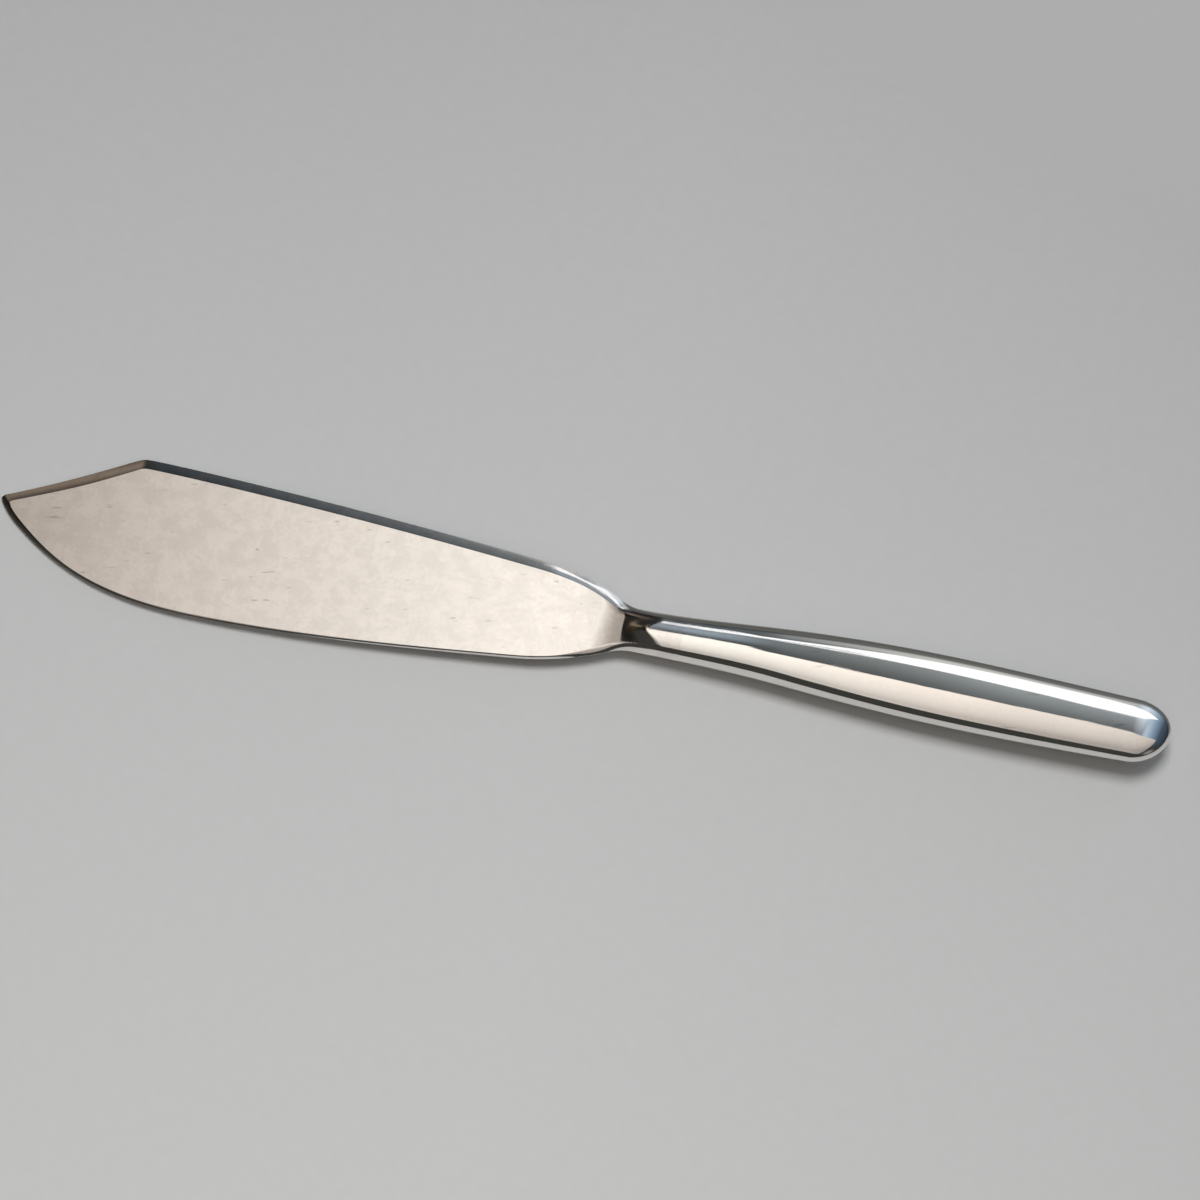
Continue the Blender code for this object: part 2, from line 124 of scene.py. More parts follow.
@dataclass(frozen=True)
class SmoothCurve:
    """A smooth curve through knots, carried on straight at both ends."""

    knots: tuple[Knot, ...]

    def at(self, x: float) -> float:
        """Height of the curve.

        Args:
            x: place along the knife.

        Returns:
            The height at x.
        """
        first, last = self.knots[0], self.knots[-1]
        if x <= first.place:
            return first.height + first.slope * (x - first.place)
        for a, b in zip(self.knots, self.knots[1:]):
            if x <= b.place:
                step = b.place - a.place
                t = (x - a.place) / step
                start = (1 + 2 * t) * (1 - t) ** 2 * a.height + t * (1 - t) ** 2 * step * a.slope
                end = t * t * (3 - 2 * t) * b.height - t * t * (1 - t) * step * b.slope
                return start + end
        return last.height + last.slope * (x - last.place)


@dataclass(frozen=True)
class KnifePose:
    """Where the knife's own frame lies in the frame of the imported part."""

    origin: Vector
    along: Vector
    across: Vector
    out: Vector

    @classmethod
    def from_seam(cls, seam: bpy.types.Object, butt: float, middle: float) -> "KnifePose":
        """Reads the pose from the flat strip of solder in the handle's middle plane.

        Args:
            seam: the frame's node of that strip.
            butt: distance from the tip to the butt, where the strip turns round.
            middle: height of that turn in the knife's own frame.

        Returns:
            The pose whose X and Y lie in the strip's plane.
        """
        points = np.array([vertex.co[:] for vertex in seam.data.vertices], float)
        centre = points.mean(axis=0)
        out = Vector(np.linalg.svd(points - centre)[2][2])
        out = out if out.z > 0 else -out
        along = Vector((0.0, 1.0, 0.0)).cross(out).normalized()
        across = out.cross(along)
        reach = points @ np.array(along)
        turn = points[reach.argmax()] @ np.array(across)
        height = float(centre @ np.array(out))
        origin = along * float(reach.max() - butt) + across * float(turn - middle) + out * height
        return cls(origin, along, across, out)

    def matrix(self) -> Matrix:
        """The pose as a matrix."""
        turn = Matrix((self.along, self.across, self.out)).transposed().to_4x4()
        return Matrix.Translation(self.origin) @ turn


class Skin:
    """Rows of points and the faces between them, in the knife's own frame."""

    HARD_EDGE = math.radians(35.0)

    def __init__(self) -> None:
        """Starts with no points."""
        self._points: list[np.ndarray] = []
        self._faces: list[tuple[int, ...]] = []
        self._count = 0

    def row(self, points: np.ndarray) -> np.ndarray:
        """Adds points.

        Args:
            points: one (x, y, z) row for each.

        Returns:
            Their numbers in the mesh.
        """
        self._points.append(np.asarray(points, float))
        self._count += len(points)
        return np.arange(self._count - len(points), self._count)

    def bridge(self, first: np.ndarray, second: np.ndarray, closed: bool = True) -> None:
        """Joins two rows of equally many points with a band of faces.

        Args:
            first: numbers of one row.
            second: numbers of the other.
            closed: whether each row is a ring.
        """
        count = len(first)
        for i in range(count if closed else count - 1):
            j = (i + 1) % count
            self._faces.append((int(first[i]), int(first[j]), int(second[j]), int(second[i])))

    def loft(self, rings: list[np.ndarray]) -> list[np.ndarray]:
        """Adds closed rings of points and joins each to the next.

        Args:
            rings: the rings, in order.

        Returns:
            The numbers of each ring's points.
        """
        rows = [self.row(ring) for ring in rings]
        for first, second in zip(rows, rows[1:]):
            self.bridge(first, second)
        return rows

    def cap(self, row: np.ndarray) -> None:
        """Closes a ring with one flat face."""
        self._faces.append(tuple(int(i) for i in row))

    def fan(self, row: np.ndarray, tip: int) -> None:
        """Joins an open row to one point."""
        for i in range(len(row) - 1):
            self._faces.append((int(row[i]), int(row[i + 1]), int(tip)))

    def build(self, name: str, pose: KnifePose) -> bpy.types.Object:
        """Makes the object, facing out and shaded smooth except at hard edges.

        Args:
            name: the piece's name.
            pose: where the knife's own frame lies.

        Returns:
            The object, linked to the scene.
        """
        mesh = bpy.data.meshes.new(name)
        mesh.from_pydata(np.vstack(self._points).tolist(), [], self._faces)
        mesh.transform(pose.matrix())
        shape = bmesh.new()
        shape.from_mesh(mesh)
        bmesh.ops.recalc_face_normals(shape, faces=shape.faces)
        shape.to_mesh(mesh)
        shape.free()
        mesh.shade_smooth()
        mesh.set_sharp_from_angle(angle=self.HARD_EDGE)
        item = bpy.data.objects.new(name, mesh)
        bpy.context.scene.collection.objects.link(item)
        return item


class Graph:
    """Short ways to put nodes into one node tree."""

    def __init__(self, tree: bpy.types.NodeTree) -> None:
        """Takes the tree to fill."""
        self.tree = tree

    def add(self, kind: str, feeds: dict[str, Feed] | None = None, **settings: object) -> bpy.types.Node:
        """Adds a node.

        Args:
            kind: Blender's name for the node.
            feeds: what each named input takes, an output socket or a constant.
            settings: plain properties of the node.

        Returns:
            The new node.
        """
        node = self.tree.nodes.new(kind)
        for key, value in settings.items():
            setattr(node, key, value)
        for key, value in (feeds or {}).items():
            self.feed(node.inputs[key], value)
        return node

    def feed(self, socket: bpy.types.NodeSocket, value: Feed) -> None:
        """Gives an input a link or a constant.

        Args:
            socket: the input.
            value: an output socket or a constant.
        """
        if isinstance(value, bpy.types.NodeSocket):
            self.tree.links.new(value, socket)
        else:
            socket.default_value = value

    def noise(self, where: bpy.types.NodeSocket, scale: float, detail: float) -> bpy.types.NodeSocket:
        """Adds a noise pattern.

        Args:
            where: the coordinates it is read at.
            scale: features to the metre.
            detail: number of finer layers.

        Returns:
            The pattern's value, about 0.5 on average.
        """
        feeds = {"Vector": where, "Scale": scale, "Detail": detail}
        return self.add("ShaderNodeTexNoise", feeds).outputs["Fac"]

    def stretch(self, where: bpy.types.NodeSocket, scale: Point, turn_deg: float) -> bpy.types.NodeSocket:
        """Adds coordinates that are turned about Z, then stretched.

        Args:
            where: the coordinates to start from.
            scale: factor along each axis.
            turn_deg: turn in degrees.

        Returns:
            The new coordinates.
        """
        turn = (0.0, 0.0, math.radians(turn_deg))
        turned = self.add("ShaderNodeMapping", {"Vector": where, "Rotation": turn})
        return self.add("ShaderNodeMapping", {"Vector": turned.outputs[0], "Scale": scale}).outputs[0]

    def remap(
        self, value: bpy.types.NodeSocket, old: Range, new: Range = (0.0, 1.0), soft: bool = True
    ) -> bpy.types.NodeSocket:
        """Adds a clamped change of range.

        Args:
            value: the value to change.
            old: its range.
            new: the range it gets.
            soft: whether it starts and ends gently.

        Returns:
            The changed value.
        """
        feeds = {"Value": value, "From Min": old[0], "From Max": old[1], "To Min": new[0], "To Max": new[1]}
        kind = "SMOOTHSTEP" if soft else "LINEAR"
        return self.add("ShaderNodeMapRange", feeds, interpolation_type=kind).outputs["Result"]

    def ramp(self, value: bpy.types.NodeSocket, stops: Stops) -> bpy.types.NodeSocket:
        """Adds a run of colours.

        Args:
            value: the value it is read at.
            stops: places and colours, in order.

        Returns:
            The colour.
        """
        first, last = stops[0][0], stops[-1][0]
        run = self.add("ShaderNodeValToRGB", {"Fac": self.remap(value, (first, last), soft=False)})
        marks = run.color_ramp.elements
        while len(marks) < len(stops):
            marks.new(1.0)
        for mark, (place, colour) in zip(marks, stops):
            mark.position = (place - first) / (last - first)
            mark.color = (*colour, 1.0)
        return run.outputs["Color"]

    def ball(self, where: bpy.types.NodeSocket, centre: Point, reach: Point) -> bpy.types.NodeSocket:
        """Adds a soft spot.

        Args:
            where: the coordinates it is read at.
            centre: its middle.
            reach: how far it goes along each axis.

        Returns:
            A share that falls gently from 1 in the middle to 0.
        """
        shift = tuple(-c / r for c, r in zip(centre, reach))
        scale = tuple(1 / r for r in reach)
        local = self.add("ShaderNodeMapping", {"Vector": where, "Location": shift, "Scale": scale}).outputs[0]
        spot = self.add("ShaderNodeTexGradient", {"Vector": local}, gradient_type="SPHERICAL").outputs["Fac"]
        return self.remap(spot, (0.0, 1.0))

    def math(self, kind: str, first: Feed, second: Feed) -> bpy.types.NodeSocket:
        """Adds a sum, a product or a maximum.

        Args:
            kind: Blender's name for the operation.
            first: a number or an output.
            second: another.

        Returns:
            The result.
        """
        node = self.add("ShaderNodeMath", operation=kind)
        self.feed(node.inputs[0], first)
        self.feed(node.inputs[1], second)
        return node.outputs[0]

    def blend(
        self, first: bpy.types.NodeSocket, second: bpy.types.NodeSocket, share: float
    ) -> bpy.types.NodeSocket:
        """Adds a weighted sum of two patterns.

        Args:
            first: one pattern's value.
            second: the other's.
            share: weight of the first; the second has the rest.

        Returns:
            The sum.
        """
        one = self.math("MULTIPLY", first, share)
        return self.math("ADD", one, self.math("MULTIPLY", second, round(1 - share, 6)))

    def mix(self, share: bpy.types.NodeSocket, first: Feed, second: Feed) -> bpy.types.NodeSocket:
        """Adds a mix of two colours.

        Args:
            share: part of the second colour.
            first: a colour or an output.
            second: another.

        Returns:
            The mixed colour.
        """
        node = self.add("ShaderNodeMix", data_type="RGBA")
        self.feed(node.inputs["Factor"], share)
        for name, value in (("A", first), ("B", second)):
            socket = next(s for s in node.inputs if s.name == name and s.type == "RGBA")
            self.feed(socket, (*value, 1.0) if isinstance(value, tuple) else value)
        return next(s for s in node.outputs if s.type == "RGBA")


def new_material(name: str) -> tuple[bpy.types.Material, Graph, bpy.types.Node]:
    """Makes a material with its Principled shader.

    Args:
        name: the material's name.

    Returns:
        The material, its graph and the shader.
    """
    material = bpy.data.materials.new(name)
    material.use_nodes = True
    graph = Graph(material.node_tree)
    return material, graph, material.node_tree.nodes["Principled BSDF"]


@dataclass(frozen=True)
class PolishedMetal:
    """Metal polished by hand: cloudy patches, specks and fine scratches."""

    name: str
    bright: Colour
    dull: Colour
    worn: Colour
    roughness: Range
    cloud_scale: float
    speck_scale: float
    scratch_scale: Point
    patch_scale: Point
    scratch_turns: tuple[float, ...]
    scratch_depth: float
    nick_scale: Point
    cloud_share: float = 0.65
    tone_range: Range = (0.38, 0.62)
    patch_range: Range = (0.40, 0.65)
    nick_turn: float = -12.0
    nick_range: Range = (0.70, 0.80)
    nick_strength: float = 0.5
    blotch_wear: float = 0.6
    wear_range: Range = (0.40, 0.65)

    def material(self) -> bpy.types.Material:
        """Builds the finish.

        Returns:
            The new material.
        """
        material, graph, shader = new_material(self.name)
        where = graph.add("ShaderNodeTexCoord").outputs["Object"]
        clouds = graph.noise(where, self.cloud_scale, 5.0)
        specks = graph.noise(where, self.speck_scale, 3.0)
        lines = None
        for turn in self.scratch_turns:
            streaks = graph.noise(graph.stretch(where, self.scratch_scale, turn), 1.0, 2.0)
            patches = graph.noise(graph.stretch(where, self.patch_scale, turn), 1.0, 2.0)
            marks = graph.math("MULTIPLY", streaks, graph.remap(patches, self.patch_range))
            lines = marks if lines is None else graph.math("MAXIMUM", lines, marks)
        blotches = graph.blend(clouds, specks, self.cloud_share)
        tone = graph.remap(blotches, self.tone_range)
        pits = graph.noise(graph.stretch(where, self.nick_scale, self.nick_turn), 1.0, 1.0)
        nicks = graph.remap(pits, self.nick_range, (0.0, self.nick_strength))
        colour = graph.mix(tone, self.dull, self.bright)
        graph.feed(shader.inputs["Base Color"], graph.mix(nicks, colour, self.worn))
        wear = graph.blend(blotches, lines, self.blotch_wear)
        graph.feed(shader.inputs["Roughness"], graph.remap(wear, self.wear_range, self.roughness))
        depth = {"Height": lines, "Strength": 1.0, "Distance": self.scratch_depth}
        bump = graph.add("ShaderNodeBump", depth)
        graph.feed(shader.inputs["Normal"], bump.outputs[0])
        shader.inputs["Metallic"].default_value = 1.0
        return material


@dataclass(frozen=True)
class CastCement:
    """Grainy filler inside the handle."""

    name: str = "cast_cement"
    pale: Colour = (0.36, 0.31, 0.26)
    dark: Colour = (0.22, 0.18, 0.15)
    grain: float = 900.0
    grain_strength: float = 0.6
    grain_depth: float = 0.2 * MM
    roughness: float = 0.9

    def material(self) -> bpy.types.Material:
        """Builds the finish.

        Returns:
            The new material.
        """
        material, graph, shader = new_material(self.name)
        where = graph.add("ShaderNodeTexCoord").outputs["Object"]
        grain = graph.noise(where, self.grain, 6.0)
        graph.feed(shader.inputs["Base Color"], graph.mix(grain, self.dark, self.pale))
        depth = {"Height": grain, "Strength": self.grain_strength, "Distance": self.grain_depth}
        bump = graph.add("ShaderNodeBump", depth)
        graph.feed(shader.inputs["Normal"], bump.outputs[0])
        shader.inputs["Roughness"].default_value = self.roughness
        return material


@dataclass(frozen=True)
class HandleForm:
    """Outer form that the neck, the shells and the solder share, in places along the knife."""

    plunge: float = 146.3 * MM
    waist: float = 151.4 * MM
    solder_start: float = 162.1 * MM
    solder_end: float = 162.4 * MM
    flare_middle: float = 185.9 * MM
    widest: float = 225.9 * MM
    end_start: float = 266.9 * MM
    butt: float = 275.9 * MM
    waist_width: float = 10.15 * MM
    flare_width: float = 13.32 * MM
    flare_slope: float = 0.074
    widest_width: float = 16.52 * MM
    end_width: float = 14.84 * MM
    end_taper: float = 0.03
    waist_drop: float = 0.3 * MM
    flare_lift: float = 0.34 * MM
    end_drop: float = 0.35 * MM
    butt_lift: float = 0.3 * MM
    butt_slope: float = 0.1
    waist_thickness: float = 8.6 * MM
    flare_thickness: float = 10.0 * MM
    end_thickness: float = 8.6 * MM
    wall: float = 0.9 * MM
    seam_film: float = 0.2 * MM
    hairline: float = 0.002 * MM

    def centre(self, x: float) -> float:
        """Height at x of the slightly arched line that the neck and handle follow."""
        return SmoothCurve(
            (
                Knot(self.waist, -self.waist_drop, 0.0),
                Knot(self.flare_middle, self.flare_lift, 0.0),
                Knot(self.end_start, -self.end_drop, 0.0),
                Knot(self.butt, self.butt_lift, self.butt_slope),
            )
        ).at(x)

    def half_width(self, x: float) -> float:
        """Half the width of the neck or handle at x."""
        return SmoothCurve(
            (
                Knot(self.waist, self.waist_width / 2, 0.0),
                Knot(self.flare_middle, self.flare_width / 2, self.flare_slope),
                Knot(self.widest, self.widest_width / 2, 0.0),
                Knot(self.end_start, self.end_width / 2, -self.end_taper),
            )
        ).at(x)

    def half_thickness(self, x: float) -> float:
        """Half the thickness of the neck or handle at x."""
        return SmoothCurve(
            (
                Knot(self.waist, self.waist_thickness / 2, 0.0),
                Knot(self.flare_middle, self.flare_thickness / 2, 0.0),
                Knot(self.end_start, self.end_thickness / 2, -self.end_taper),
            )
        ).at(x)

    def meridian(self, steps: int, end_steps: int) -> list[tuple[float, float, float]]:
        """Stations of the shells from the mouth to the last ring before the butt.

        Args:
            steps: stations along the body of the handle.
            end_steps: stations round the butt.

        Returns:
            For each station the outer place, the inner place and the share of the full section.
        """
        mouth = self.solder_end + self.hairline
        stations = [(float(x), float(x), 1.0) for x in np.linspace(mouth, self.end_start, steps + 1)]
        rounding = self.butt - self.end_start
        for turn in np.linspace(0.0, math.pi / 2, end_steps + 1)[1:-1]:
            outer = self.end_start + rounding * math.sin(turn)
            inner = self.end_start + (rounding - self.wall) * math.sin(turn)
            stations.append((outer, inner, math.cos(turn)))
        return stations


def ellipse(half_y: float, half_z: float, count: int) -> np.ndarray:
    """Points round a full ellipse.

    Args:
        half_y: half its width.
        half_z: half its thickness.
        count: points on each side.

    Returns:
        (y, z) rows, the front side from belly to spine and then the back side.
    """
    turn = (np.arange(count) + 0.5) * math.pi / count
    y = -half_y * np.cos(turn)
    z = half_z * np.sin(turn)
    return np.column_stack([np.concatenate([y, y[::-1]]), np.concatenate([z, -z[::-1]])])


def ring_at(x: float, section: np.ndarray, centre: float = 0.0) -> np.ndarray:
    """A section's (y, z) rows as points at x, moved to a centre height."""
    return np.column_stack([np.full(len(section), x), section[:, 0] + centre, section[:, 1]])


def settle(item: bpy.types.Object, node: str, finish: bpy.types.Material) -> None:
    """Gives a piece its finish and puts it in the place of a node of the frame.

    Args:
        item: the piece.
        node: name of the node it stands for.
        finish: its material.
    """
    item.data.materials.append(finish)
    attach(item, BODY)
    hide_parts(node)
    log.info("%s: %d faces for %s", item.name, len(item.data.polygons), node)


@dataclass
class Blade:
    """Blade, scooped neck, spigot and notched tang, forged in one."""

    form: HandleForm
    tip_rise: float = 1.15 * MM
    tip_blunt: float = 0.72 * MM
    tip_rounding: float = 0.4 * MM
    nose_share: float = 0.35
    clip_length: float = 30.5 * MM
    clip_hollow: float = 0.55 * MM
    peak_height: float = 16.87 * MM
    peak_rounding: float = 0.7 * MM
    spine_fall: float = math.radians(1.2)
    shoulder_length: float = 21.4 * MM
    shoulder_height: float = 11.72 * MM
    shoulder_fall: float = math.radians(4.65)
    shoulder_fall_at_neck: float = math.radians(30.0)
    belly_tip_angle: float = math.radians(56.4)
    bend_place: float = 6.9 * MM
    bend_depth: float = 5.9 * MM
    bend_angle: float = math.radians(35.6)
    belly_low: float = 49.8 * MM
    belly_depth: float = 17.8 * MM
    heel_length: float = 21.4 * MM
    heel_depth: float = 12.36 * MM
    heel_rise: float = math.radians(6.4)
    heel_rise_at_neck: float = math.radians(24.0)
    plunge_width: float = 12.5 * MM
    plunge_drop: float = 0.15 * MM
    heel_thickness: float = 2.4 * MM
    tip_thickness: float = 1.4 * MM
    wedge: float = math.radians(1.0)
    spine_edge: float = 0.9 * MM
    belly_edge: float = 0.4 * MM
    spine_margin: float = 2.35 * MM
    spine_crease: float = 0.5
    belly_margin: float = 0.55 * MM
    belly_crease: float = 0.45
    heel_belly_margin: float = 1.5 * MM
    heel_margin_length: float = 14.0 * MM
    tip_spine_margin: float = 1.8 * MM
    tip_belly_margin: float = 1.25 * MM
    tip_margin_length: float = 21.0 * MM
    scoop_offset: float = 1.5 * MM
    scoop_length: float = 6.3 * MM
    scoop_flare: float = 6.5 * MM
    runout: float = 5.8 * MM
    runout_slant: float = 0.15
    runout_slope: float = 0.14
    runout_end: float = 4.0 * MM
    plunge_line: float = 0.25 * MM
    flare_share: float = 0.25
    spine_bow: float = 1.2 * MM
    bow_start: float = 0.4
    bow_width: float = 0.4
    spigot_end: float = 167.6 * MM
    spigot_gap: float = 0.2 * MM
    tang_end: float = 229.6 * MM
    tang_width: float = 6.0 * MM
    tang_end_width: float = 4.4 * MM
    tang_thickness: float = 2.4 * MM
    tang_softness: float = 0.35
    notch_depth: float = 0.9 * MM
    notch_length: float = 7.0 * MM
    notches: tuple[float, ...] = (22.0 * MM, 44.0 * MM)
    across: int = 84
    margin_steps: int = 16
    tip_steps: int = 16
    span_steps: tuple[int, ...] = (50, 40, 60, 70, 70, 50)
    notch_steps: int = 17
    peak_reach: float = 4.0
    crease_step: float = 0.03 * MM
    least_face: float = 0.2
    slope_step: float = 0.2 * MM
    spine: SmoothCurve = field(init=False)
    belly: SmoothCurve = field(init=False)

    def __post_init__(self) -> None:
        """Draws the outline's two curves from the sizes."""
        form = self.form
        half = self.plunge_width / 2
        drop = form.plunge - self.shoulder_length
        rise = form.plunge - self.heel_length
        self.spine = SmoothCurve(
            (
                Knot(self.clip_length, self.peak_height, -math.tan(self.spine_fall)),
                Knot(drop, self.shoulder_height, -math.tan(self.shoulder_fall)),
                Knot(form.plunge, half - self.plunge_drop, -math.tan(self.shoulder_fall_at_neck)),
                Knot(form.waist, form.waist_width / 2 - form.waist_drop, 0.0),
            )
        )
        self.belly = SmoothCurve(
            (
                Knot(0.0, self.tip_rise - self.tip_blunt / 2, -math.tan(self.belly_tip_angle)),
                Knot(self.bend_place, -self.bend_depth, -math.tan(self.bend_angle)),
                Knot(self.belly_low, -self.belly_depth, 0.0),
                Knot(rise, -self.heel_depth, math.tan(self.heel_rise)),
                Knot(form.plunge, -half - self.plunge_drop, math.tan(self.heel_rise_at_neck)),
                Knot(form.waist, -form.waist_width / 2 - form.waist_drop, 0.0),
            )
        )

    def outline(self, x: float) -> tuple[float, float]:
        """Outline of blade and neck.

        Args:
            x: place along the knife.

        Returns:
            Heights of the cutting edge and the spine over the centreline.
        """
        if x >= self.form.waist:
            half, centre = self.form.half_width(x), self.form.centre(x)
            return centre - half, centre + half
        top = self.tip_rise + self.tip_blunt / 2
        along = x / self.clip_length
        clip = top + (self.peak_height - top) * along - 4 * self.clip_hollow * along * (1 - along)
        back = self.spine.at(x)
        spine = (clip + back - math.hypot(clip - back, self.peak_rounding)) / 2
        nose = self.nose_share + (1 - self.nose_share) * float(quarter_round(x, self.tip_rounding))
        low = self.tip_rise + (self.belly.at(x) - self.tip_rise) * nose
        return low, self.tip_rise + (spine - self.tip_rise) * nose

    def stretch(self, x: float, side: int) -> float:
        """How much longer a margin is across the knife than square to the outline.

        Args:
            x: place along the knife.
            side: 0 for the cutting edge, 1 for the spine.

        Returns:
            The factor.
        """
        before, after = max(x - self.slope_step, 0.0), x + self.slope_step
        rise = self.outline(after)[side] - self.outline(before)[side]
        return math.hypot(1.0, rise / (after - before))

    def runout_lift(self, behind: np.ndarray, length: np.ndarray) -> np.ndarray:
        """Gentle rise of the face towards the plunge line.

        Args:
            behind: how far each point lies behind the plunge line.
            length: how far before the line the rise starts.

        Returns:
            The rise at each point.
        """
        share = np.clip(1 + behind / length, 0.0, 1.0)
        past = np.clip(behind, 0.0, self.runout_end)
        run = length * share**2 * (1 - share / 3) + past - past**2 / (2 * self.runout_end)
        return self.runout_slope * run

    def section(self, x: float) -> np.ndarray:
        """Section of the blade or its neck.

        Args:
            x: place along the knife.

        Returns:
            (y, z) rows, the front side from belly to spine and then the back side.
        """
        low, high = self.outline(x)
        thick = self.form.half_thickness(x)
        tip_share = 1 - ease(x / self.tip_margin_length)
        heel_share = ease(1 + (x - self.form.plunge) / self.heel_margin_length)
        low_margin = self.belly_margin + (self.tip_belly_margin - self.belly_margin) * tip_share
        low_margin += (self.heel_belly_margin - self.belly_margin) * heel_share
        high_margin = self.spine_margin + (self.tip_spine_margin - self.spine_margin) * tip_share
        low_margin *= self.stretch(x, 0)
        high_margin *= self.stretch(x, 1)
        room = min(1.0, (1 - self.least_face) * (high - low) / (low_margin + high_margin))
        steps = np.linspace(0.0, 1.0, self.margin_steps)
        low_side = low + room * low_margin * steps
        high_side = high - room * high_margin * steps[::-1]
        inside = low_side[-1] + self.crease_step, high_side[0] - self.crease_step
        middle = np.linspace(*inside, self.across - 2 * self.margin_steps)
        y = np.concatenate([low_side, middle, high_side])
        neck = ellipse((high - low) / 2, thick, self.across)[: self.across, 0]
        behind = x - self.form.plunge - self.scoop_offset
        y = y + (neck + (high + low) / 2 - y) * ease(behind / self.scoop_length)
        across = (2 * y - high - low) / (high - low)
        bow = self.spine_bow * ease((across - self.bow_start) / self.bow_width)
        behind = behind + bow - self.plunge_line
        lift = self.runout_lift(behind, self.runout - self.runout_slant * (y - (high + low) / 2))
        edge = (self.belly_edge + (self.spine_edge - self.belly_edge) * (1 + across) / 2) / 2
        on_line = self.tip_thickness + (self.heel_thickness - self.tip_thickness) * x / self.form.plunge
        face = on_line / 2 + math.tan(self.wedge) * y + lift
        rounding = roll_off(y - low, low_margin, self.belly_crease)
        rounding = rounding * roll_off(high - y, high_margin, self.spine_crease)
        flat = edge + (face - edge) * rounding * quarter_round(x, self.tip_belly_margin)
        reach = self.scoop_length + self.scoop_flare * across**2 / (across**2 + self.flare_share)
        scoop = ease(behind / (reach - self.plunge_line))
        z = flat + (thick * np.sqrt(np.clip(1 - across**2, 0.0, 1.0)) - flat) * scoop
        return np.column_stack([np.concatenate([y, y[::-1]]), np.concatenate([z, -z[::-1]])])

    def stations(self) -> list[float]:
        """Places of the sections, close together where the surface turns quickly.

        Returns:
            The places, from the tip to the shoulder.
        """
        form = self.form
        reach = self.peak_reach * self.peak_rounding
        heel = form.plunge - max(self.shoulder_length, self.heel_length)
        scoop = form.plunge + self.scoop_offset - self.spine_bow
        bounds = (
            self.tip_belly_margin,
            self.clip_length - reach,
            self.clip_length + reach,
            heel,
            scoop,
            scoop + self.scoop_length,
            form.solder_start - form.hairline,
        )
        tip = self.tip_belly_margin * (1 - np.cos(np.linspace(0.0, math.pi / 2, self.tip_steps)))
        places = [float(x) for x in tip]
        for start, end, steps in zip(bounds, bounds[1:], self.span_steps):
            places += [float(x) for x in np.linspace(start, end, steps + 1)[1:]]
        return places

    def tang_half(self, x: float) -> float:
        """Half the width of the notched tang.

        Args:
            x: place along the knife.

        Returns:
            The half width at x.
        """
        along = x - self.spigot_end
        share = along / (self.tang_end - self.spigot_end)
        half = (self.tang_width + (self.tang_end_width - self.tang_width) * share) / 2
        for place in self.notches:
            half -= self.notch_depth * (1 - float(ease(abs(along - place) / (self.notch_length / 2))))
        return half

    def tang_rings(self) -> list[np.ndarray]:
        """Rings of the spigot and the tang behind the shoulder.

        Returns:
            The rings, in order.
        """
        form = self.form
        start = form.solder_start - form.hairline
        inset = form.wall + self.spigot_gap
        half_y, half_z = form.half_width(start) - inset, form.half_thickness(start) - inset
        spigot = ellipse(half_y, half_z, self.across)
        rings = [ring_at(x, spigot, form.centre(x)) for x in (start, self.spigot_end)]
        unit = ellipse(1.0, 1.0, self.across)
        bar = np.sign(unit) * np.abs(unit) ** self.tang_softness
        places = {self.spigot_end, self.tang_end}
        for middle in self.notches:
            start = self.spigot_end + middle - self.notch_length / 2
            places.update(float(x) for x in np.linspace(start, start + self.notch_length, self.notch_steps))
        for x in sorted(places):
            section = bar * np.array([self.tang_half(x), self.tang_thickness / 2])
            rings.append(ring_at(x, section, form.centre(x)))
        return rings

    def build(self, pose: KnifePose, finish: bpy.types.Material) -> bpy.types.Object:
        """Builds and dresses the blade.

        Args:
            pose: where the knife's own frame lies.
            finish: the blade's material.

        Returns:
            The piece.
        """
        skin = Skin()
        rings = [ring_at(x, self.section(x)) for x in self.stations()] + self.tang_rings()
        rows = skin.loft(rings)
        skin.cap(rows[0])
        skin.cap(rows[-1])
        item = skin.build("polished_blade", pose)
        settle(item, "blade", finish)
        return item


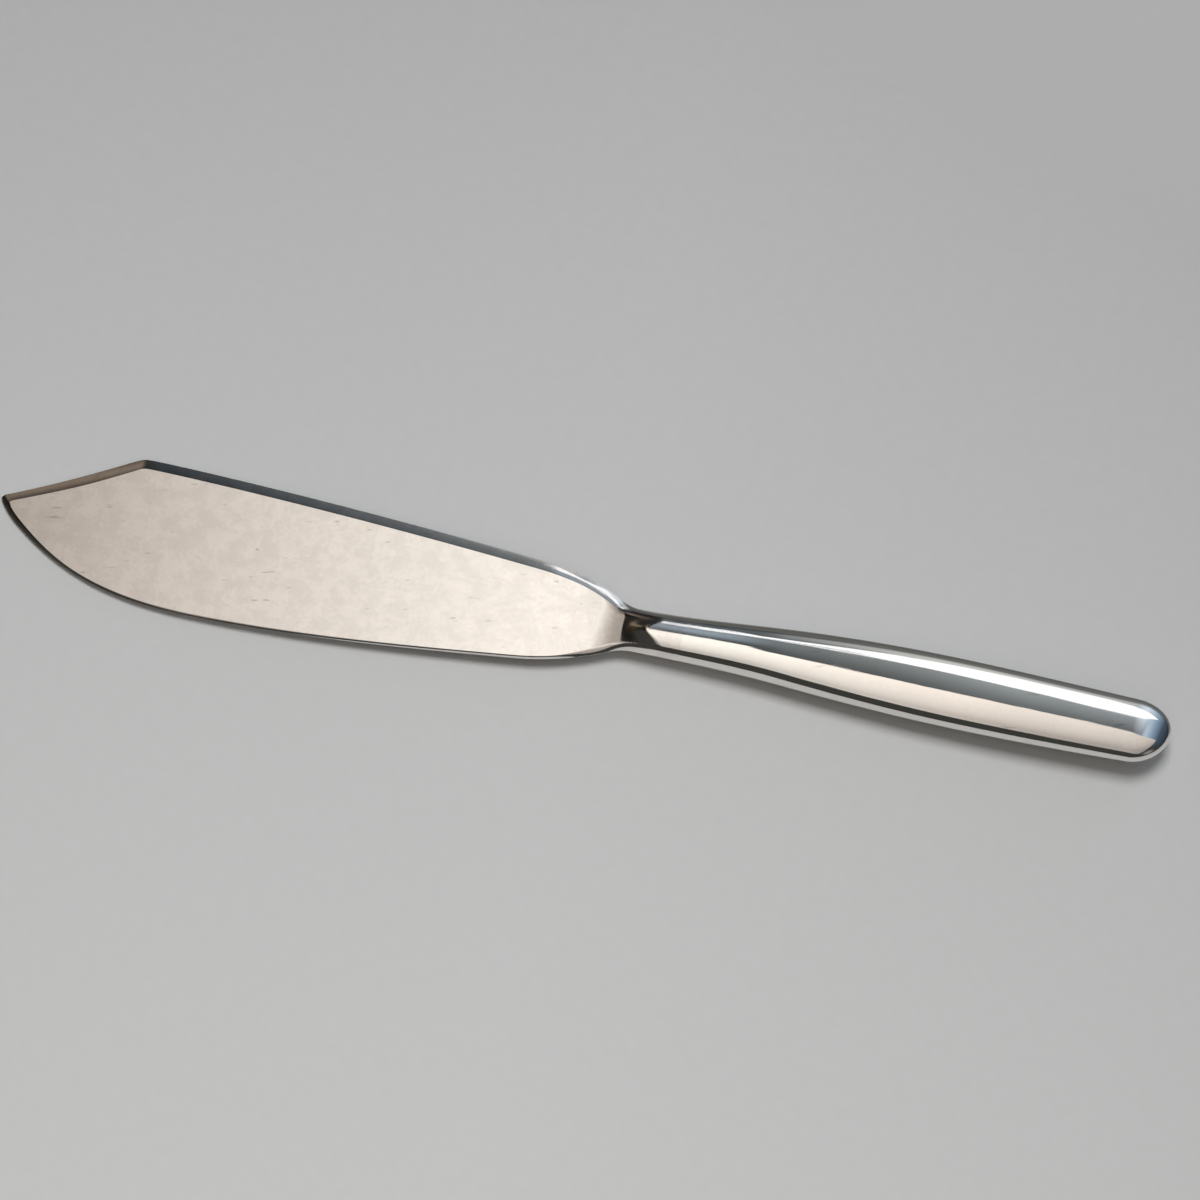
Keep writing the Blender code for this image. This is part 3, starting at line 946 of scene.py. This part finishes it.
@dataclass
class HandleShell:
    """One stamped half of the hollow handle."""

    form: HandleForm
    side: Side
    steps: int = 160
    end_steps: int = 40
    around: int = 72

    def arc(self, x: float, share: float, inset: float) -> np.ndarray:
        """Half section from the belly rim to the spine rim.

        Args:
            x: place along the knife.
            share: factor on the section, below 1 round the butt.
            inset: how far it is drawn in.

        Returns:
            The points.
        """
        form = self.form
        rim = form.seam_film / 2 + form.hairline
        turn = np.linspace(0.0, math.pi, self.around + 1)
        y = form.centre(x) - (form.half_width(x) - inset) * share * np.cos(turn)
        z = rim + (form.half_thickness(x) - inset - rim) * share * np.sin(turn)
        z[[0, -1]] = rim
        return np.column_stack([np.full(len(turn), x), y, self.side.value * z])

    def build(self, pose: KnifePose, finish: bpy.types.Material) -> bpy.types.Object:
        """Builds and dresses the shell.

        Args:
            pose: where the knife's own frame lies.
            finish: its material.

        Returns:
            The piece.
        """
        form, skin = self.form, Skin()
        rim = self.side.value * (form.seam_film / 2 + form.hairline)
        outer, inner = [], []
        for outer_x, inner_x, share in form.meridian(self.steps, self.end_steps):
            outer.append(skin.row(self.arc(outer_x, share, 0.0)))
            inner.append(skin.row(self.arc(inner_x, share, form.wall)))
        ends = (form.butt, form.butt - form.wall)
        poles = skin.row(np.array([(x, form.centre(x), rim) for x in ends]))
        for rows, pole in ((outer, poles[0]), (inner, poles[1])):
            for first, second in zip(rows, rows[1:]):
                skin.bridge(first, second, closed=False)
            skin.fan(rows[-1], pole)
        for i in (0, self.around):
            outer_rim = np.array([row[i] for row in outer] + [poles[0]])
            inner_rim = np.array([row[i] for row in inner] + [poles[1]])
            skin.bridge(outer_rim, inner_rim, closed=False)
        skin.bridge(outer[0], inner[0], closed=False)
        item = skin.build(f"{self.side.name.lower()}_shell", pose)
        settle(item, f"handle_{self.side.name.lower()}_shell", finish)
        return item


@dataclass
class Solder:
    """Solder films of the handle: the strip in its seam and the ring at its mouth."""

    form: HandleForm
    steps: int = 160
    end_steps: int = 40
    around: int = 72

    def build_seam(self, pose: KnifePose, finish: bpy.types.Material) -> bpy.types.Object:
        """Builds and dresses the strip between the two shells.

        Args:
            pose: where the knife's own frame lies.
            finish: its material.

        Returns:
            The piece.
        """
        form, skin = self.form, Skin()
        half = form.seam_film / 2
        posts = []
        for outer_x, inner_x, share in form.meridian(self.steps, self.end_steps):
            outer_y = form.half_width(outer_x) * share
            inner_y = (form.half_width(inner_x) - form.wall) * share
            posts.append((outer_x, outer_y, inner_x, inner_y))
        pole = (form.butt, 0.0, form.butt - form.wall, 0.0)
        back = [(a, -b, c, -d) for a, b, c, d in reversed(posts)]
        rings = []
        for outer_x, outer_y, inner_x, inner_y in [*posts, pole, *back]:
            outer_y += form.centre(outer_x)
            inner_y += form.centre(inner_x)
            corners = ((outer_x, outer_y, half), (inner_x, inner_y, half))
            under = ((inner_x, inner_y, -half), (outer_x, outer_y, -half))
            rings.append(np.array(corners + under))
        rows = skin.loft(rings)
        skin.cap(rows[0])
        skin.cap(rows[-1])
        item = skin.build("seam_line", pose)
        settle(item, "handle_seam_solder", finish)
        return item

    def build_ring(self, pose: KnifePose, finish: bpy.types.Material) -> bpy.types.Object:
        """Builds and dresses the ring between the blade's shoulder and the handle.

        Args:
            pose: where the knife's own frame lies.
            finish: its material.

        Returns:
            The piece.
        """
        form, skin = self.form, Skin()
        rings = []
        for x, inset in (
            (form.solder_start, 0.0),
            (form.solder_end, 0.0),
            (form.solder_end, form.wall),
            (form.solder_start, form.wall),
        ):
            half_y, half_z = form.half_width(x) - inset, form.half_thickness(x) - inset
            rings.append(ring_at(x, ellipse(half_y, half_z, self.around), form.centre(x)))
        rows = skin.loft(rings)
        skin.bridge(rows[-1], rows[0])
        item = skin.build("neck_ring", pose)
        settle(item, "neck_joint_solder", finish)
        return item


@dataclass(frozen=True)
class GlowPanel:
    """A glowing panel out of the camera's sight, with a run of colours along X."""

    name: str
    corners: tuple[Point, ...]
    across: Stops
    near_fade: Range | None = None
    near_share: float = 1.0
    lights_floor: bool = False
    soft_spot: tuple[Point, Point] | None = None

    def build(self) -> bpy.types.Object:
        """Builds the panel with its glow, which fades to nothing round a soft spot if it has one.

        Returns:
            The panel.
        """
        mesh = bpy.data.meshes.new(self.name)
        mesh.from_pydata(self.corners, [], [tuple(range(len(self.corners)))])
        material = bpy.data.materials.new(self.name)
        material.use_nodes = True
        graph = Graph(material.node_tree)
        material.node_tree.nodes.remove(material.node_tree.nodes["Principled BSDF"])
        where = graph.add("ShaderNodeTexCoord").outputs["Object"]
        parts = graph.add("ShaderNodeSeparateXYZ", {"Vector": where}).outputs
        colour = graph.ramp(parts["X"], self.across)
        if self.near_fade:
            fade = graph.remap(parts["Y"], self.near_fade, (self.near_share, 1.0), False)
            colour = graph.mix(fade, BLACK, colour)
        surface = graph.add("ShaderNodeEmission", {"Strength": 1.0, "Color": colour}).outputs[0]
        if self.soft_spot:
            clear = graph.add("ShaderNodeBsdfTransparent").outputs[0]
            both = graph.add("ShaderNodeMixShader", {"Fac": graph.ball(where, *self.soft_spot)})
            graph.feed(both.inputs[1], clear)
            graph.feed(both.inputs[2], surface)
            surface = both.outputs[0]
        graph.feed(material.node_tree.nodes["Material Output"].inputs["Surface"], surface)
        mesh.materials.append(material)
        panel = bpy.data.objects.new(self.name, mesh)
        bpy.context.scene.collection.objects.link(panel)
        panel.visible_camera = False
        panel.visible_shadow = False
        panel.visible_diffuse = self.lights_floor
        return panel


@dataclass(frozen=True)
class RoomGlow:
    """Dim light of the room as the metal mirrors it, from the tip's side to the butt's side."""

    across: Stops = (
        (-1.00, (0.030, 0.026, 0.020)),
        (-0.97, (0.034, 0.027, 0.018)),
        (-0.90, (0.085, 0.057, 0.030)),
        (-0.78, (0.050, 0.042, 0.030)),
        (-0.62, (0.032, 0.030, 0.026)),
        (-0.24, (0.024, 0.025, 0.026)),
        (-0.19, (0.034, 0.040, 0.046)),
        (-0.15, (0.065, 0.077, 0.088)),
        (-0.10, (0.110, 0.125, 0.135)),
        (-0.06, (0.170, 0.190, 0.200)),
        (-0.03, (0.215, 0.235, 0.243)),
        (0.03, (0.330, 0.370, 0.390)),
        (0.08, (0.310, 0.345, 0.370)),
        (0.17, (0.540, 0.610, 0.670)),
        (0.29, (0.660, 0.780, 0.900)),
        (0.45, (0.420, 0.530, 0.660)),
        (0.56, (0.250, 0.355, 0.480)),
        (0.78, (0.060, 0.090, 0.130)),
        (1.00, (0.030, 0.040, 0.060)),
    )
    near_side: Range = (-0.55, -0.10)
    near_colour: Colour = (0.040, 0.041, 0.038)
    far_side: Range = (0.05, 0.65)
    far_share: float = 0.38
    end_side: Range = (0.22, 0.45)
    low: Range = (-0.05, 0.25)
    low_share: float = 0.35
    spots: tuple[tuple[Point, Point, Colour], ...] = (
        ((-0.40, 0.58, 0.72), (0.17, 0.50, 0.60), (0.215, 0.172, 0.138)),
        ((-0.76, 0.56, 0.30), (0.24, 0.36, 0.36), (0.185, 0.155, 0.120)),
        ((0.025, 0.95, 0.27), (0.13, 0.50, 0.32), (0.60, 0.61, 0.60)),
        ((0.70, -0.68, 0.25), (0.26, 0.26, 0.26), (0.26, 0.26, 0.25)),
        ((-0.96, -0.02, 0.26), (0.26, 0.24, 0.22), (0.28, 0.265, 0.245)),
    )

    def build(self) -> None:
        """Builds the world."""
        world = bpy.data.worlds.new("room")
        world.use_nodes = True
        bpy.context.scene.world = world
        graph = Graph(world.node_tree)
        where = graph.add("ShaderNodeTexCoord").outputs["Generated"]
        parts = graph.add("ShaderNodeSeparateXYZ", {"Vector": where}).outputs
        far = graph.remap(parts["Y"], self.far_side, (self.far_share, 1.0), False)
        far = graph.math("MAXIMUM", far, graph.remap(parts["X"], self.end_side))
        low = graph.remap(parts["Z"], self.low, (self.low_share, 1.0))
        shade = graph.math("MULTIPLY", far, low)
        lit = graph.mix(shade, BLACK, graph.ramp(parts["X"], self.across))
        lit = graph.mix(graph.remap(parts["Y"], self.near_side), self.near_colour, lit)
        for centre, reach, colour in self.spots:
            lit = graph.mix(graph.ball(where, centre, reach), lit, colour)
        graph.feed(world.node_tree.nodes["Background"].inputs["Color"], lit)


@dataclass
class Studio:
    """Pale floor with painted light falloff and painted shade in its reflections, soft light and the room
    round them.
    """

    floor_size: float = 6.0
    # Painted light falloff: the floor colour goes from the lighter near colour to the darker far colour, away
    # from -Y and to the right.
    floor_painted_light_near: Colour = (0.660, 0.660, 0.650)
    floor_painted_shade_far: Colour = (0.398, 0.398, 0.391)
    floor_painted_falloff: Range = (-0.19, 0.19)
    floor_painted_falloff_slant: float = 0.40
    floor_grain_scale: float = 300.0
    floor_grain: float = 0.04
    floor_roughness: float = 0.55
    floor_gloss: float = 0.25
    # Painted shade in reflections: to mirrored rays, the floor behind the knife (+Y) gets this dark colour.
    reflected_painted_shade_edge: Range = (0.0, 0.02)
    reflected_painted_shade: Colour = (0.09, 0.09, 0.085)
    fill_place: Point = (0.05, 0.36, 1.05)
    fill_size: float = 0.40
    fill_power: float = 9.0
    softbox: GlowPanel = GlowPanel(
        name="overhead_softbox",
        corners=(
            (-0.53, 0.50, SOFTBOX_HEIGHT),
            (-0.53, -1.76, SOFTBOX_HEIGHT),
            (1.6, -2.72, SOFTBOX_HEIGHT),
            (1.6, -0.28, SOFTBOX_HEIGHT),
            (1.03, -0.14, SOFTBOX_HEIGHT),
            (0.5, -0.05, SOFTBOX_HEIGHT),
            (0.24, 0.02, SOFTBOX_HEIGHT),
            (0.2, 0.08, SOFTBOX_HEIGHT),
            (0.0, 0.11, SOFTBOX_HEIGHT),
            (-0.06, 0.11, SOFTBOX_HEIGHT),
            (-0.085, 0.20, SOFTBOX_HEIGHT),
            (-0.09, 0.27, SOFTBOX_HEIGHT),
            (-0.12, 0.31, SOFTBOX_HEIGHT),
            (-0.15, 0.34, SOFTBOX_HEIGHT),
            (-0.20, 0.50, SOFTBOX_HEIGHT),
        ),
        across=(
            (-0.53, (0.36, 0.33, 0.29)),
            (-0.43, (0.47, 0.43, 0.39)),
            (-0.40, (0.552, 0.513, 0.469)),
            (-0.30, (0.760, 0.722, 0.674)),
            (-0.21, (0.945, 0.911, 0.858)),
            (-0.14, (1.125, 1.086, 1.017)),
            (-0.03, (1.13, 1.06, 0.99)),
            (0.06, (1.03, 0.95, 0.88)),
            (0.25, (0.76, 0.705, 0.66)),
            (0.90, (0.68, 0.63, 0.585)),
            (1.60, (0.50, 0.48, 0.46)),
        ),
        near_fade=(-1.3, 0.0),
        near_share=0.53,
        lights_floor=True,
    )
    side_card: GlowPanel = GlowPanel(
        name="side_card",
        corners=(
            (-0.015, 0.2848, 0.128),
            (-0.006, 0.2812, 0.132),
            (0.013, 0.2515, 0.165),
            (0.034, 0.2506, 0.166),
            (0.055, 0.2677, 0.147),
            (0.084, 0.2920, 0.12),
            (0.115, 0.3082, 0.102),
            (0.147, 0.3028, 0.108),
            (0.157, 0.2740, 0.14),
            (0.25, 0.2524, 0.164),
            (0.35, 0.2317, 0.187),
            (0.3, 0.2110, 0.21),
            (0.211, 0.1705, 0.255),
            (0.157, 0.1696, 0.256),
            (0.115, 0.1894, 0.234),
            (0.07, 0.2029, 0.219),
            (0.034, 0.2137, 0.207),
            (0.002, 0.2245, 0.195),
            (-0.015, 0.2326, 0.186),
        ),
        across=((-0.02, (1.06, 1.10, 1.15)), (0.10, (1.12, 1.15, 1.19)), (0.35, (1.00, 1.06, 1.12))),
    )
    grey_card: GlowPanel = GlowPanel(
        name="grey_card",
        corners=(
            (-0.022, 0.229, 0.19),
            (0.06, 0.229, 0.19),
            (0.06, 0.058, 0.38),
            (-0.022, 0.058, 0.38),
        ),
        across=((-0.022, (0.31, 0.375, 0.44)), (0.06, (0.22, 0.25, 0.27))),
        near_fade=(0.05, 0.15),
        near_share=0.6,
        soft_spot=((-0.010, 0.190, 0.233), (0.05, 0.16, 0.17)),
    )

    def build_floor(self) -> bpy.types.Object:
        """Builds the floor, its colour painted with light falloff: lighter towards -Y, darker away from it
        and to the right.

        Returns:
            The floor.
        """
        mesh = bpy.data.meshes.new("floor")
        half = self.floor_size / 2
        corners = [(-half, -half, 0.0), (half, -half, 0.0), (half, half, 0.0), (-half, half, 0.0)]
        mesh.from_pydata(corners, [], [(0, 1, 2, 3)])
        floor = bpy.data.objects.new("floor", mesh)
        bpy.context.scene.collection.objects.link(floor)
        material, graph, shader = new_material("floor_with_painted_light_and_shade")
        where = graph.add("ShaderNodeTexCoord").outputs["Object"]
        parts = graph.add("ShaderNodeSeparateXYZ", {"Vector": where}).outputs
        # Painted light falloff: the floor is lighter near -Y and darker towards +Y and to the right, with a
        # little grain mixed in.
        right = graph.math("MAXIMUM", parts["X"], 0.0)
        away = graph.math("ADD", parts["Y"], graph.math("MULTIPLY", right, self.floor_painted_falloff_slant))
        grain = graph.math("MULTIPLY", graph.noise(where, self.floor_grain_scale, 4.0), self.floor_grain)
        fade = graph.remap(graph.math("ADD", away, grain), self.floor_painted_falloff, soft=False)
        pale = graph.mix(fade, self.floor_painted_light_near, self.floor_painted_shade_far)
        # Painted shade seen only in reflections: glossy rays that meet the floor at Y above zero get a dark
        # colour instead of the pale floor.
        mirrored = graph.add("ShaderNodeLightPath").outputs["Is Glossy Ray"]
        behind = graph.math("MULTIPLY", mirrored, graph.remap(parts["Y"], self.reflected_painted_shade_edge))
        graph.feed(shader.inputs["Base Color"], graph.mix(behind, pale, self.reflected_painted_shade))
        shader.inputs["Roughness"].default_value = self.floor_roughness
        shader.inputs["Specular IOR Level"].default_value = self.floor_gloss
        mesh.materials.append(material)
        return floor

    def build_fill(self) -> bpy.types.Object:
        """Builds the soft lamp that lights the floor and that the metal does not mirror.

        Returns:
            The lamp.
        """
        light = bpy.data.lights.new("floor_fill", "AREA")
        light.size = self.fill_size
        light.energy = self.fill_power
        lamp = bpy.data.objects.new("floor_fill", light)
        bpy.context.scene.collection.objects.link(lamp)
        lamp.location = self.fill_place
        lamp.rotation_mode = "QUATERNION"
        lamp.rotation_quaternion = (-Vector(self.fill_place)).to_track_quat("-Z", "Y")
        lamp.visible_glossy = False
        lamp.visible_camera = False
        return lamp

    def build(self) -> None:
        """Builds everything round the knife."""
        self.build_floor()
        self.build_fill()
        self.softbox.build()
        self.side_card.build()
        self.grey_card.build()
        RoomGlow().build()
        bpy.context.scene.view_settings.view_transform = "Standard"


@dataclass(frozen=True)
class ViewPoint:
    """The camera, at the photograph's angle."""

    azimuth: float = math.radians(12.0)
    elevation: float = math.radians(76.0)
    distance: float = 1.0
    target: Point = (0.00371, 0.00544, 0.005)
    lens: float = 130.1
    sensor: float = 36.0

    def build(self) -> bpy.types.Object:
        """Builds the camera and makes it the scene's own.

        Returns:
            The camera.
        """
        data = bpy.data.cameras.new("view")
        data.lens = self.lens
        data.sensor_width = self.sensor
        camera = bpy.data.objects.new("view", data)
        bpy.context.scene.collection.objects.link(camera)
        flat = math.cos(self.elevation)
        back = Vector(
            (math.sin(self.azimuth) * flat, -math.cos(self.azimuth) * flat, math.sin(self.elevation))
        )
        camera.location = Vector(self.target) + self.distance * back
        camera.rotation_mode = "QUATERNION"
        camera.rotation_quaternion = (-back).to_track_quat("-Z", "Y")
        bpy.context.scene.camera = camera
        return camera


BLADE_POLISH = PolishedMetal(
    name="hand_polished_steel",
    bright=(0.97, 0.920, 0.885),
    dull=(0.875, 0.828, 0.795),
    worn=(0.45, 0.42, 0.39),
    roughness=(0.08, 0.14),
    cloud_scale=260.0,
    speck_scale=1000.0,
    scratch_scale=(40.0, 2600.0, 40.0),
    patch_scale=(70.0, 300.0, 70.0),
    scratch_turns=(5.0, -28.0, 64.0),
    scratch_depth=0.0012 * MM,
    nick_scale=(260.0, 900.0, 260.0),
)
HANDLE_POLISH = PolishedMetal(
    name="mirror_polished_silver",
    bright=(0.96, 0.93, 0.89),
    dull=(0.92, 0.89, 0.85),
    worn=(0.60, 0.57, 0.53),
    roughness=(0.05, 0.13),
    cloud_scale=70.0,
    speck_scale=900.0,
    scratch_scale=(25.0, 1500.0, 1500.0),
    patch_scale=(30.0, 200.0, 200.0),
    scratch_turns=(0.0, 4.0),
    scratch_depth=0.0048 * MM,
    nick_scale=(120.0, 700.0, 700.0),
)
SOLDER_POLISH = PolishedMetal(
    name="filed_solder",
    bright=(0.955, 0.925, 0.885),
    dull=(0.91, 0.88, 0.84),
    worn=(0.60, 0.57, 0.53),
    roughness=(0.05, 0.10),
    cloud_scale=120.0,
    speck_scale=1200.0,
    scratch_scale=(40.0, 2600.0, 2600.0),
    patch_scale=(30.0, 200.0, 200.0),
    scratch_turns=(0.0, 10.0),
    scratch_depth=0.0010 * MM,
    nick_scale=(300.0, 700.0, 700.0),
)


def main() -> None:
    """Builds the knife, the studio and the camera."""
    logging.basicConfig(level=logging.INFO, format="%(name)s: %(message)s")
    form = HandleForm()
    pose = KnifePose.from_seam(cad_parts["handle_seam_solder"], form.butt, form.centre(form.butt))
    silver = HANDLE_POLISH.material()
    filed = SOLDER_POLISH.material()
    Blade(form).build(pose, BLADE_POLISH.material())
    for side in Side:
        HandleShell(form, side).build(pose, silver)
    solder = Solder(form)
    solder.build_seam(pose, filed)
    solder.build_ring(pose, filed)
    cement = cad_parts["tang_cement"]
    cement.data.materials.clear()
    cement.data.materials.append(CastCement().material())
    log.info("tang_cement: kept from the frame")
    Studio().build()
    ViewPoint().build()


if __name__ == "__main__":
    main()
